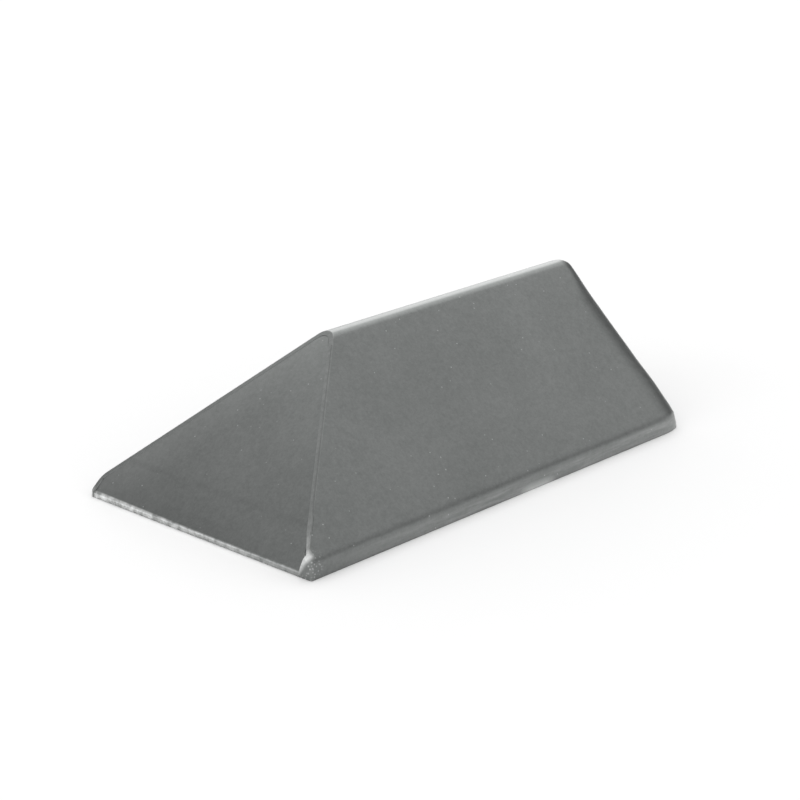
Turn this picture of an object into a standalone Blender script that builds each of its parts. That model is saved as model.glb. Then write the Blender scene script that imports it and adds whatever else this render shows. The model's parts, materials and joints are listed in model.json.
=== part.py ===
"""Weighted floor door stop.

A folded steel cover with a sloping nose plate stands over a cast iron block.
Two studs welded under the ridge pull the cover down on the block, a screwed
base plate closes the underside, and a ribbed rubber sole keeps it from sliding.

Frame: metres, +Z up, origin on the floor under the middle of the base.
The nose points to -X, the upright end to +X, and the ridge runs along X.
Left is the -Y side and right the +Y side. On the right hip the cover is trimmed
flush with the nose plate; on the left hip its edge stands a little proud.
"""
import math

import bmesh
import bpy
from mathutils import Matrix, Vector

# ---------------------------------------------------------------- driving sizes
LENGTH = 0.150          # overall, toe to upright end
WIDTH = 0.0855          # over the skirts
SHEET = 0.0010          # gauge of the folded cover and the nose plate
GAP = 0.0003            # working clearance between neighbouring pieces
RIM_Z = 0.0003          # the cover's rim hangs just clear of the floor

FLANK_SLOPE = math.radians(43.3)
BEND_Z = 0.0051         # height where flank and skirt would meet if unrounded
RIDGE_RADIUS = 0.0042   # outside radius of the ridge fold
SKIRT_RADIUS = 0.0030   # outside radius of the flank to skirt folds
END_RADIUS = 0.0067     # rounding all round the upright end

NOSE_SLOPE = math.radians(40.5)
LEFT_LIP_Z = 0.0060     # the left flank's edge stands this high at the toe

SOLE_THICKNESS = 0.0016
BASE_THICKNESS = 0.0020
BASE_Z = SOLE_THICKNESS + GAP
BLOCK_Z = BASE_Z + BASE_THICKNESS + GAP
BLOCK_TOP_Z = 0.0360
BLOCK_INSET = 0.0030    # block surface behind the cover's outer face
BLOCK_NOSE_INSET = 0.0035
BLOCK_END_INSET = 0.0033

STUD_X = (0.000, 0.045)
STUD_RADIUS = 0.0025
STUD_TOP_Z = 0.0410
STUD_END_Z = 0.0060
STUD_HOLE_RADIUS = 0.0030
COUNTERBORE_RADIUS = 0.0070
COUNTERBORE_TOP_Z = 0.0142
WASHER_SIZE = (0.0050, 0.0010)        # outside radius, thickness
LOCK_WASHER_SIZE = (0.0044, 0.0012)
NUT_ACROSS_FLATS = 0.0080
NUT_HEIGHT = 0.0040
FASTENER_BORE = STUD_RADIUS + GAP

SCREW_X = (-0.042, 0.060)
SCREW_Y = 0.024
SCREW_RADIUS = 0.0020
SCREW_HEAD_RADIUS = 0.0040
SCREW_HEAD_DEPTH = 0.0020
SCREW_LENGTH = 0.0100
SCREW_SOCKET_ACROSS_FLATS = 0.0025

RIB_PITCH = 0.0060
GROOVE_WIDTH = 0.0012
GROOVE_DEPTH = 0.0006

# ---------------------------------------------------------------- derived sizes
HALF_LENGTH = LENGTH / 2
HALF_WIDTH = WIDTH / 2
RIDGE_CORNER_Z = BEND_Z + HALF_WIDTH * math.tan(FLANK_SLOPE)
HEIGHT = RIDGE_CORNER_Z - RIDGE_RADIUS * (1 / math.cos(FLANK_SLOPE) - 1)
TOE_Z = RIM_Z + SHEET / math.cos(NOSE_SLOPE)
APEX_X = -HALF_LENGTH + (HEIGHT - TOE_Z) / math.tan(NOSE_SLOPE)
LEFT_EDGE_SLOPE = math.atan2(HEIGHT - LEFT_LIP_Z, APEX_X + HALF_LENGTH)

RIDGE_STEPS = 12
SKIRT_STEPS = 6
END_STEPS = 8
CORNER_STEPS = 6
OVERSHOOT = 0.010       # how far cutters reach past what they cut


def clear_scene():
    """Start from an empty scene."""
    for item in list(bpy.data.objects):
        bpy.data.objects.remove(item, do_unlink=True)


def new_collection(name):
    collection = bpy.data.collections.new(name)
    bpy.context.scene.collection.children.link(collection)
    return collection


def material(name, colour, roughness, metallic):
    """A plain Principled material for one kind of piece."""
    made = bpy.data.materials.new(name)
    made.use_nodes = True
    shader = made.node_tree.nodes["Principled BSDF"]
    shader.inputs["Base Color"].default_value = (*colour, 1.0)
    shader.inputs["Roughness"].default_value = roughness
    shader.inputs["Metallic"].default_value = metallic
    return made


def move_to(item, collection):
    for owner in list(item.users_collection):
        owner.objects.unlink(item)
    collection.objects.link(item)


def object_from_bmesh(name, mesh_builder, collection):
    """Turn a bmesh into a named object and free it."""
    mesh = bpy.data.meshes.new(name)
    bmesh.ops.recalc_face_normals(mesh_builder, faces=mesh_builder.faces)
    mesh_builder.to_mesh(mesh)
    mesh_builder.free()
    item = bpy.data.objects.new(name, mesh)
    collection.objects.link(item)
    return item


def finish_part(item, piece_material, smooth_angle=35):
    """Give a part its material and shade its round faces smooth."""
    item.data.materials.clear()
    item.data.materials.append(piece_material)
    item.data.shade_smooth()
    item.data.set_sharp_from_angle(angle=math.radians(smooth_angle))
    return item


def make_cutter(item):
    """Keep a cutting shape in its own collection, shown as wire only."""
    move_to(item, CUTTERS)
    item.hide_render = True
    item.display_type = "WIRE"
    return item


def cut(item, tool, operation="DIFFERENCE"):
    """Add an exact Boolean of item with tool."""
    modifier = item.modifiers.new(f"{operation.title()} {tool.name}", "BOOLEAN")
    modifier.operation = operation
    modifier.solver = "EXACT"
    modifier.object = tool


def bevel_edges(item, width, segments=3, angle=40):
    modifier = item.modifiers.new("Eased edges", "BEVEL")
    modifier.width = width
    modifier.segments = segments
    modifier.limit_method = "ANGLE"
    modifier.angle_limit = math.radians(angle)


def box(name, size, centre, collection):
    """A box whose scale is already applied."""
    builder = bmesh.new()
    bmesh.ops.create_cube(builder, size=1.0)
    bmesh.ops.scale(builder, vec=Vector(size), verts=builder.verts)
    item = object_from_bmesh(name, builder, collection)
    item.location = centre
    return item


def cylinder(name, radius, z_low, z_high, x, y, collection, segments=32):
    """An upright cylinder, its object origin on its own axis."""
    builder = bmesh.new()
    bmesh.ops.create_cone(
        builder, cap_ends=True, segments=segments,
        radius1=radius, radius2=radius, depth=z_high - z_low,
    )
    item = object_from_bmesh(name, builder, collection)
    item.location = (x, y, (z_low + z_high) / 2)
    return item


def extruded_outline(name, points, y_low, y_high, collection):
    """A prism along Y from an outline of (x, z) points."""
    builder = bmesh.new()
    face = builder.faces.new([builder.verts.new((x, y_low, z)) for x, z in points])
    grown = bmesh.ops.extrude_face_region(builder, geom=[face])
    moved = [part for part in grown["geom"] if isinstance(part, bmesh.types.BMVert)]
    bmesh.ops.translate(builder, vec=(0, y_high - y_low, 0), verts=moved)
    return object_from_bmesh(name, builder, collection)


# ---------------------------------------------------------------- cover section
def rounded_corner(corner_y, corner_z, radius, angle_from, angle_to, steps, inset):
    """Points of one fold, moved inwards by inset; past its radius it is one corner.

    Angles give the direction of the outward normal, measured from +Z towards +Y.
    """
    middle = (angle_from + angle_to) / 2
    half_turn = abs(angle_to - angle_from) / 2
    reach = radius / math.cos(half_turn)
    centre_y = corner_y - reach * math.sin(middle)
    centre_z = corner_z - reach * math.cos(middle)
    if inset >= radius:
        depth = (radius - inset) / math.cos(half_turn)
        point = (centre_y + depth * math.sin(middle), centre_z + depth * math.cos(middle))
        return [point] * (steps + 1)
    points = []
    for step in range(steps + 1):
        angle = angle_from + (angle_to - angle_from) * step / steps
        points.append((
            centre_y + (radius - inset) * math.sin(angle),
            centre_z + (radius - inset) * math.cos(angle),
        ))
    return points


def cover_section(inset, bottom_z=RIM_Z):
    """(y, z) points round the cover, from the left rim over the ridge to the right rim."""
    upright = math.pi / 2
    left = rounded_corner(
        -HALF_WIDTH, BEND_Z, SKIRT_RADIUS, -upright, -FLANK_SLOPE, SKIRT_STEPS, inset)
    ridge = rounded_corner(
        0, RIDGE_CORNER_Z, RIDGE_RADIUS, -FLANK_SLOPE, FLANK_SLOPE, RIDGE_STEPS, inset)
    right = rounded_corner(
        HALF_WIDTH, BEND_Z, SKIRT_RADIUS, FLANK_SLOPE, upright, SKIRT_STEPS, inset)
    rim_y = HALF_WIDTH - inset
    return [(-rim_y, bottom_z)] + left + ridge + right + [(rim_y, bottom_z)]


def nose_line_x(z, depth=0.0):
    """X of the nose plane, or of a plane depth behind it, at height z."""
    return -HALF_LENGTH + (z - TOE_Z + depth / math.cos(NOSE_SLOPE)) / math.tan(NOSE_SLOPE)


def hip_cutter(name, toe_z, slope, y_low, y_high):
    """A prism over everything in front of a sloping plane through the apex."""
    low_x = -HALF_LENGTH - OVERSHOOT
    low_z = toe_z - OVERSHOOT * math.tan(slope)
    high_z = HEIGHT + OVERSHOOT
    high_x = -HALF_LENGTH + (high_z - toe_z) / math.tan(slope)
    outline = [(low_x, low_z), (high_x, high_z), (low_x, high_z)]
    return make_cutter(extruded_outline(name, outline, y_low, y_high, CUTTERS))


def make_cover(steel):
    """The folded cover: ridge, two flanks, two skirts and the rounded upright end."""
    rings = [(-HALF_LENGTH, 0.0)]
    for step in range(END_STEPS + 1):
        turn = math.pi / 2 * step / END_STEPS
        ring_x = HALF_LENGTH - END_RADIUS + END_RADIUS * math.sin(turn)
        rings.append((ring_x, END_RADIUS * (1 - math.cos(turn))))

    builder = bmesh.new()
    previous = None
    for ring_x, inset in rings:
        row = [builder.verts.new((ring_x, y, z)) for y, z in cover_section(inset)]
        if previous:
            for index in range(len(row) - 1):
                builder.faces.new((
                    previous[index], row[index], row[index + 1], previous[index + 1]))
        previous = row
    bmesh.ops.remove_doubles(builder, verts=builder.verts, dist=1e-6)
    end_verts = [v for v in builder.verts if v.co.x > HALF_LENGTH - 1e-6]
    end_verts.sort(key=lambda v: math.atan2(v.co.z - HEIGHT / 3, v.co.y))
    builder.faces.new(end_verts)

    cover = object_from_bmesh("cover_shell", builder, PARTS)
    if cover.data.polygons[0].normal.y > 0:
        cover.data.flip_normals()
    shell = cover.modifiers.new("Sheet gauge", "SOLIDIFY")
    shell.thickness = SHEET
    shell.offset = -1
    shell.use_even_offset = True
    cut(cover, hip_cutter("left_hip_cut", LEFT_LIP_Z, LEFT_EDGE_SLOPE, -WIDTH, 0))
    cut(cover, hip_cutter("right_hip_cut", TOE_Z, NOSE_SLOPE, 0, WIDTH))
    return finish_part(cover, steel)


def make_nose_plate(steel):
    """The flat triangular plate let in between the flanks."""
    outline = [
        (-HALF_LENGTH, TOE_Z),
        (-HALF_LENGTH, RIM_Z),
        (nose_line_x(HEIGHT, SHEET), HEIGHT),
        (nose_line_x(HEIGHT), HEIGHT),
    ]
    plate = extruded_outline("nose_plate", outline, -HALF_WIDTH, HALF_WIDTH, PARTS)

    room = bmesh.new()
    section = cover_section(SHEET + GAP, bottom_z=-OVERSHOOT)
    face = room.faces.new([room.verts.new((-HALF_LENGTH - OVERSHOOT, y, z)) for y, z in section])
    grown = bmesh.ops.extrude_face_region(room, geom=[face])
    moved = [part for part in grown["geom"] if isinstance(part, bmesh.types.BMVert)]
    bmesh.ops.translate(room, vec=(LENGTH, 0, 0), verts=moved)
    limit = make_cutter(object_from_bmesh("nose_plate_outline", room, CUTTERS))
    cut(plate, limit, "INTERSECT")
    return finish_part(plate, steel)


# ---------------------------------------------------------------- inside
def block_half_width(z):
    """Half width of the cast block between the sloping flanks at height z."""
    top = RIDGE_CORNER_Z - BLOCK_INSET / math.cos(FLANK_SLOPE)
    return (top - z) / math.tan(FLANK_SLOPE)


def make_ballast(iron):
    """The cast block: a tapered box with stud holes, counterbores and tapped holes."""
    builder = bmesh.new()
    bmesh.ops.create_cube(builder, size=2.0)
    for vert in builder.verts:
        z = BLOCK_TOP_Z if vert.co.z > 0 else BLOCK_Z
        x = HALF_LENGTH - BLOCK_END_INSET if vert.co.x > 0 else nose_line_x(z, BLOCK_NOSE_INSET)
        y = math.copysign(block_half_width(z), vert.co.y)
        vert.co = (x, y, z)
    block = object_from_bmesh("ballast_block", builder, PARTS)
    bevel_edges(block, 0.0012, segments=2, angle=30)
    for number, x in enumerate(STUD_X, 1):
        hole = cylinder(
            f"stud_hole_{number}", STUD_HOLE_RADIUS,
            BLOCK_Z - OVERSHOOT, HEIGHT, x, 0, CUTTERS)
        recess = cylinder(
            f"counterbore_{number}", COUNTERBORE_RADIUS,
            BLOCK_Z - OVERSHOOT, COUNTERBORE_TOP_Z, x, 0, CUTTERS)
        cut(block, make_cutter(hole))
        cut(block, make_cutter(recess))
    for name, x, y in screw_places():
        tapped = cylinder(
            f"tapped_{name}", SCREW_RADIUS + GAP, BLOCK_Z - OVERSHOOT,
            BASE_Z + SCREW_LENGTH + 2 * GAP, x, y, CUTTERS, segments=20)
        cut(block, make_cutter(tapped))
    return finish_part(block, iron)


def make_studs(steel):
    """Two studs welded under the ridge, reaching down through the block."""
    for number, x in enumerate(STUD_X, 1):
        stud = cylinder(f"weld_stud_{number}", STUD_RADIUS, STUD_END_Z, STUD_TOP_Z, x, 0, PARTS)
        bevel_edges(stud, 0.0005, segments=2, angle=60)
        finish_part(stud, steel)


def ring(name, outer_radius, thickness, bottom_z, x, collection):
    """A flat washer turned round the stud's axis."""
    half = thickness / 2
    profile = [
        (FASTENER_BORE, -half), (outer_radius, -half),
        (outer_radius, half), (FASTENER_BORE, half),
    ]
    builder = bmesh.new()
    verts = [builder.verts.new((r, 0, z)) for r, z in profile]
    edges = [builder.edges.new((verts[i], verts[(i + 1) % 4])) for i in range(4)]
    bmesh.ops.spin(
        builder, geom=verts + edges, cent=(0, 0, 0), axis=(0, 0, 1),
        angle=math.tau, steps=32, use_merge=True)
    bmesh.ops.remove_doubles(builder, verts=builder.verts, dist=1e-6)
    item = object_from_bmesh(name, builder, collection)
    item.location = (x, 0, bottom_z + half)
    return item


def make_stud_fasteners(zinc):
    """Washer, lock washer and nut on each stud, seated in the counterbore."""
    washer_z = COUNTERBORE_TOP_Z - GAP - WASHER_SIZE[1]
    lock_z = washer_z - GAP - LOCK_WASHER_SIZE[1]
    nut_z = lock_z - GAP - NUT_HEIGHT
    for number, x in enumerate(STUD_X, 1):
        finish_part(ring(f"flat_washer_{number}", *WASHER_SIZE, washer_z, x, PARTS), zinc)

        lock = ring(f"lock_washer_{number}", *LOCK_WASHER_SIZE, lock_z, x, PARTS)
        slot_size = (0.004, 0.0007, 2 * LOCK_WASHER_SIZE[1])
        slot = box(
            f"lock_washer_slot_{number}", slot_size,
            (x + 0.0037, 0, lock_z + LOCK_WASHER_SIZE[1] / 2), CUTTERS)
        slot.rotation_euler = (math.radians(25), 0, 0)
        cut(lock, make_cutter(slot))
        finish_part(lock, zinc)

        nut_radius = NUT_ACROSS_FLATS / math.sqrt(3)
        nut = cylinder(
            f"hex_nut_{number}", nut_radius, nut_z, nut_z + NUT_HEIGHT, x, 0, PARTS, segments=6)
        bore = cylinder(
            f"nut_bore_{number}", FASTENER_BORE, nut_z - OVERSHOOT, nut_z + OVERSHOOT,
            x, 0, CUTTERS)
        bevel_edges(nut, 0.0003, segments=1, angle=80)
        cut(nut, make_cutter(bore))
        finish_part(nut, zinc)


def make_pads(felt):
    """Felt pads that keep the block from ringing against the cover."""
    flank_thickness = BLOCK_INSET - SHEET - 2 * GAP
    middle_inset = (BLOCK_INSET + SHEET) / 2
    for name, side in (("left", -1), ("right", 1)):
        y = 0.55 * HALF_WIDTH
        z = RIDGE_CORNER_Z - middle_inset / math.cos(FLANK_SLOPE) - y * math.tan(FLANK_SLOPE)
        pad = box(f"flank_pad_{name}", (0.070, 0.022, flank_thickness), (0.022, side * y, z), PARTS)
        pad.rotation_euler = (-side * FLANK_SLOPE, 0, 0)
        bevel_edges(pad, 0.0003, segments=1)
        finish_part(pad, felt)

    nose_thickness = BLOCK_NOSE_INSET - SHEET - 2 * GAP
    nose_z = 0.0150
    nose_x = nose_line_x(nose_z, (BLOCK_NOSE_INSET + SHEET) / 2)
    pad = box("nose_pad", (0.018, 0.034, nose_thickness), (nose_x, 0, nose_z), PARTS)
    pad.rotation_euler = (0, -NOSE_SLOPE, 0)
    bevel_edges(pad, 0.0003, segments=1)
    finish_part(pad, felt)

    end_thickness = BLOCK_END_INSET - SHEET - 2 * GAP
    end_x = HALF_LENGTH - (BLOCK_END_INSET + SHEET) / 2
    pad = box("end_pad", (end_thickness, 0.024, 0.012), (end_x, 0, 0.015), PARTS)
    bevel_edges(pad, 0.0003, segments=1)
    finish_part(pad, felt)


# ---------------------------------------------------------------- underside
def screw_places():
    """Name and place of the four base screws."""
    places = []
    for end, x in zip(("nose", "end"), SCREW_X):
        places.append((f"{end}_left", x, -SCREW_Y))
        places.append((f"{end}_right", x, SCREW_Y))
    return places


def floor_plate(name, low_z, thickness, toe_x, edge_gap):
    """A flat plate inside the skirts, its corners rounded at the upright end."""
    far_x = HALF_LENGTH - SHEET - edge_gap
    width = WIDTH - 2 * (SHEET + edge_gap)
    plate = box(
        name, (far_x - toe_x, width, thickness),
        ((far_x + toe_x) / 2, 0, low_z + thickness / 2), PARTS)
    builder = bmesh.new()
    builder.from_mesh(plate.data)
    corners = [
        edge for edge in builder.edges
        if edge.calc_length() < 1.5 * thickness and edge.verts[0].co.x > 0
    ]
    bmesh.ops.bevel(
        builder, geom=corners, offset=END_RADIUS - SHEET - edge_gap + 0.0005,
        segments=CORNER_STEPS, profile=0.5, affect="EDGES")
    builder.to_mesh(plate.data)
    builder.free()
    return plate


def make_base_plate(zinc):
    """The steel plate that closes the underside, countersunk for its four screws."""
    toe_x = nose_line_x(BASE_Z + BASE_THICKNESS, SHEET) + 2 * GAP
    plate = floor_plate("base_plate", BASE_Z, BASE_THICKNESS, toe_x, GAP)
    for name, x, y in screw_places():
        hole = screw_shape(f"countersink_{name}", GAP, CUTTERS)
        hole.location = (x, y, BASE_Z)
        cut(plate, make_cutter(hole))
    return finish_part(plate, zinc)


def screw_shape(name, growth, collection):
    """A countersunk screw turned from its profile, grown outwards by growth."""
    head = SCREW_HEAD_RADIUS + growth
    shank = SCREW_RADIUS + growth
    low = -growth if growth else 0.0
    profile = [
        (0.0, low), (head, low), (head, 0.0002), (shank, SCREW_HEAD_DEPTH + growth / 2),
        (shank, SCREW_LENGTH - 0.0004), (shank - 0.0004, SCREW_LENGTH), (0.0, SCREW_LENGTH),
    ]
    builder = bmesh.new()
    verts = [builder.verts.new((r, 0, z)) for r, z in profile]
    edges = [builder.edges.new(pair) for pair in zip(verts, verts[1:])]
    bmesh.ops.spin(
        builder, geom=verts + edges, cent=(0, 0, 0), axis=(0, 0, 1),
        angle=math.tau, steps=24, use_merge=True)
    bmesh.ops.remove_doubles(builder, verts=builder.verts, dist=1e-6)
    return object_from_bmesh(name, builder, collection)


def make_base_screws(zinc):
    """Four countersunk socket screws through the base plate into the block."""
    for name, x, y in screw_places():
        screw = screw_shape(f"base_screw_{name}", 0.0, PARTS)
        screw.location = (x, y, BASE_Z)
        socket = cylinder(
            f"socket_{name}", SCREW_SOCKET_ACROSS_FLATS / math.sqrt(3),
            BASE_Z - OVERSHOOT, BASE_Z + 0.0013, x, y, CUTTERS, segments=6)
        cut(screw, make_cutter(socket))
        finish_part(screw, zinc)


def make_sole(rubber):
    """The rubber sole the stop stands on, grooved across for grip."""
    toe_x = nose_line_x(SOLE_THICKNESS, SHEET) + 2 * GAP
    sole = floor_plate("rubber_sole", 0.0, SOLE_THICKNESS, toe_x, GAP)
    groove = box(
        "sole_grooves", (GROOVE_WIDTH, WIDTH + OVERSHOOT, 2 * GROOVE_DEPTH), (0, 0, 0), CUTTERS)
    count = int(LENGTH / RIB_PITCH) - 1
    groove.location.x = -(count - 1) / 2 * RIB_PITCH
    row = groove.modifiers.new("Row", "ARRAY")
    row.count = count
    row.use_relative_offset = False
    row.use_constant_offset = True
    row.constant_offset_displace = (RIB_PITCH, 0, 0)
    row.merge_threshold = 0.0001
    cut(sole, make_cutter(groove))
    return finish_part(sole, rubber)


def build():
    satin_steel = material("satin_steel", (0.23, 0.235, 0.23), 0.38, 1.0)
    cast_iron = material("cast_iron", (0.075, 0.075, 0.08), 0.7, 0.6)
    zinc_plated = material("zinc_plated_steel", (0.55, 0.56, 0.57), 0.35, 1.0)
    felt = material("grey_felt", (0.19, 0.19, 0.19), 0.95, 0.0)
    rubber = material("black_rubber", (0.02, 0.02, 0.021), 0.75, 0.0)

    make_cover(satin_steel)
    make_nose_plate(satin_steel)
    make_ballast(cast_iron)
    make_studs(satin_steel)
    make_stud_fasteners(zinc_plated)
    make_pads(felt)
    make_base_plate(zinc_plated)
    make_base_screws(zinc_plated)
    make_sole(rubber)


clear_scene()
PARTS = new_collection("door_stop")
CUTTERS = new_collection("cutters")
build()
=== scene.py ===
"""Looks of the weighted floor door stop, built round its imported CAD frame."""
import json
import math

import bmesh
import bpy
from mathutils import Matrix, Vector, noise


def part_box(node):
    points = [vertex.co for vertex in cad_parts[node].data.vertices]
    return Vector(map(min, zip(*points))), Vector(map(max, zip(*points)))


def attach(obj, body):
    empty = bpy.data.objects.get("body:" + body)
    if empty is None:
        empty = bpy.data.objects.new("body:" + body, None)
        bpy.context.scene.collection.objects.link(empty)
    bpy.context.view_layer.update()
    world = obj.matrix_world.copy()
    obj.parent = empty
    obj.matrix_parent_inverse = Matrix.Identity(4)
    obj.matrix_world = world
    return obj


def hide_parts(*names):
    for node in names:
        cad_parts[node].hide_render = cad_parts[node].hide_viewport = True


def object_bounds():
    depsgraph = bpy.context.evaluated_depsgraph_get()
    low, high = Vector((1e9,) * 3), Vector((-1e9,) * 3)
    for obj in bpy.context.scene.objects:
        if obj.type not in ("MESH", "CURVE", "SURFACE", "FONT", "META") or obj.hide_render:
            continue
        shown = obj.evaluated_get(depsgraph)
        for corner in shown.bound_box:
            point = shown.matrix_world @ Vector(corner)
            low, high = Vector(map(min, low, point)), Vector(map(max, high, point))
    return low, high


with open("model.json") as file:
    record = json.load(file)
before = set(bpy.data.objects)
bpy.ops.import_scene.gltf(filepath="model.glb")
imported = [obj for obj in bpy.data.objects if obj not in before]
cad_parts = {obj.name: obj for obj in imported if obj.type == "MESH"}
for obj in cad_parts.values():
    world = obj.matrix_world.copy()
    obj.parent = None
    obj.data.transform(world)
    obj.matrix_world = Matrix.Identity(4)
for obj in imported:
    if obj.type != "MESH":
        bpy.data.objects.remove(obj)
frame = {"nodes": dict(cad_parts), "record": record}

CAD_LOW, CAD_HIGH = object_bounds()
MM = 0.001

# ---------------------------------------------------------------- sizes from the frame
COVER_LOW, COVER_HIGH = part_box("cover_shell")
HALF_LENGTH = COVER_HIGH.x
HALF_WIDTH = COVER_HIGH.y
TOP_Z = COVER_HIGH.z
RIM_Z = 0.1 * MM

# ---------------------------------------------------------------- sheet metal
# The gauge is the CAD's. Slopes, folds and rim follow the photograph, a few tenths off.
SHEET = 1.0 * MM
GAP = 0.3 * MM
FLANK_SLOPE = math.radians(43.5)
NOSE_SLOPE = math.radians(40.5)
RIDGE_RADIUS = 4.2 * MM
SKIRT_RADIUS = 3.4 * MM
BEND_Z = 4.83 * MM
LEFT_LIP_Z = 6.0 * MM
RIDGE_CORNER_Z = BEND_Z + HALF_WIDTH * math.tan(FLANK_SLOPE)
SKIRT_LEAN = math.radians(2.0)
SKIRT_CORNER_Y = (HALF_WIDTH - (RIDGE_CORNER_Z - RIM_Z) * math.tan(SKIRT_LEAN)) / (
    1 - math.tan(FLANK_SLOPE) * math.tan(SKIRT_LEAN))
SKIRT_CORNER_Z = RIDGE_CORNER_Z - SKIRT_CORNER_Y * math.tan(FLANK_SLOPE)
TOE_Z = COVER_LOW.z + SHEET / math.cos(NOSE_SLOPE)
APEX_X = -HALF_LENGTH + (TOP_Z - TOE_Z) / math.tan(NOSE_SLOPE)
LEFT_EDGE_SLOPE = math.atan2(TOP_Z - LEFT_LIP_Z, APEX_X + HALF_LENGTH)

END_REACH = 12.5 * MM
# height, how far from the end the surface starts to turn, and how far it draws in, in mm
END_SHAPES = [
    (0.3, 8.6, 3.65),
    (4.5, 11.0, 4.70),
    (8.0, 11.0, 3.95),
    (13.0, 10.8, 3.75),
    (20.0, 11.8, 4.30),
    (31.0, 12.3, 4.70),
    (41.5, 7.0, 6.0),
    (45.0, 7.0, 6.0),
]
# sections are made at this spacing of inset, and points lie between two of them
INSET_STEP = 0.1 * MM
LEAST_RADIUS = 0.3 * MM
TOE_END_RADIUS = 1.6 * MM
TOE_FOOT_RADIUS = 0.5 * MM
TOE_ROUND_Z = 6.0 * MM
TOE_CROWN = 14.0 * MM
TOE_CROWN_TURN = math.radians(2.0)
TOE_CROWN_STEPS = 14
TOE_ROUND_REACH = 0.28 * MM
TOE_ROUND_STEPS = 9
TOE_STRIP = 0.5 * MM
# keeps the nose plate's lip out of the plane of the cover's end wall
NOSE_SET_BACK = 0.02 * MM
NOSE_EASE = 0.12 * MM

RIDGE_STEPS = 24
SKIRT_STEPS = 14
FLANK_STEPS = 26
END_STEPS = 20
TOE_END_STEPS = 8
LENGTH_STEPS = 60
INSIDE_DETAIL = 0.4
RIM_STEPS = 3
# how far cutters run past what they cut
REACH = 10 * MM

# the left cut edge levels out where it nears the toe: (x, z) points
LEFT_TAIL = [
    (-75.0 * MM, 5.9 * MM),
    (-74.0 * MM, 6.65 * MM),
    (-73.0 * MM, 7.35 * MM),
    (-71.0 * MM, 8.85 * MM),
]
# rise over run of the cut edge in front of its tail
TAIL_SLOPE = 0.4
# outline of the small end wall of the left corner, from the toe up to the flank: (y, z)
LEFT_WALL = [
    (-38.40 * MM, 0.0),
    (-38.46 * MM, 1.68 * MM),
    (-38.85 * MM, 2.75 * MM),
    (-39.28 * MM, 3.70 * MM),
    (-39.70 * MM, 4.60 * MM),
    (-40.20 * MM, 5.55 * MM),
]

WALL_DEPTH = 2.8 * MM
WALL_STEP = 0.25 * MM
CUTTER_CLEAR = 0.02 * MM
CUTTER_OVERLAP = 0.03 * MM

# the sheet left at the ground corner, how far back it is thinned, and the taper over that
THIN_SHEET = 0.35 * MM
THIN_LENGTH = 6.0 * MM
THIN_SHIFT = 1.1 * MM
THIN_RISE = 0.7 * MM

# ---------------------------------------------------------------- camera
CAMERA_AZIMUTH = math.radians(-45.84)
CAMERA_ELEVATION = math.radians(18.93)
CAMERA_ROLL = math.radians(-0.90)
CAMERA_DISTANCE = 0.601
CAMERA_LENS = 97.7
CAMERA_SENSOR = 36.0
CAMERA_CLIP = 0.01
CAMERA_AIM = Vector((0.0, 0.0, 0.020))
CAMERA_OFFSET = (0.72 * MM, -2.06 * MM)


def camera_axes():
    """Right, up and back of the camera, before and after its small roll."""
    sin_a, cos_a = math.sin(CAMERA_AZIMUTH), math.cos(CAMERA_AZIMUTH)
    sin_e, cos_e = math.sin(CAMERA_ELEVATION), math.cos(CAMERA_ELEVATION)
    back = Vector((sin_a * cos_e, -cos_a * cos_e, sin_e))
    level_right = Vector((cos_a, sin_a, 0.0))
    level_up = back.cross(level_right)
    sin_r, cos_r = math.sin(CAMERA_ROLL), math.cos(CAMERA_ROLL)
    right = cos_r * level_right + sin_r * level_up
    up = cos_r * level_up - sin_r * level_right
    return right, up, back


def make_camera():
    """The photograph's angle, with everything in focus."""
    right, up, back = camera_axes()
    aim = CAMERA_AIM + right * CAMERA_OFFSET[0] + up * CAMERA_OFFSET[1]
    place = aim + back * CAMERA_DISTANCE
    data = bpy.data.cameras.new("camera")
    data.lens = CAMERA_LENS
    data.sensor_width = CAMERA_SENSOR
    data.clip_start = CAMERA_CLIP
    camera = bpy.data.objects.new("camera", data)
    turn = Matrix((right, up, back)).transposed().to_4x4()
    camera.matrix_world = Matrix.Translation(place) @ turn
    bpy.context.scene.collection.objects.link(camera)
    bpy.context.scene.camera = camera


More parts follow.
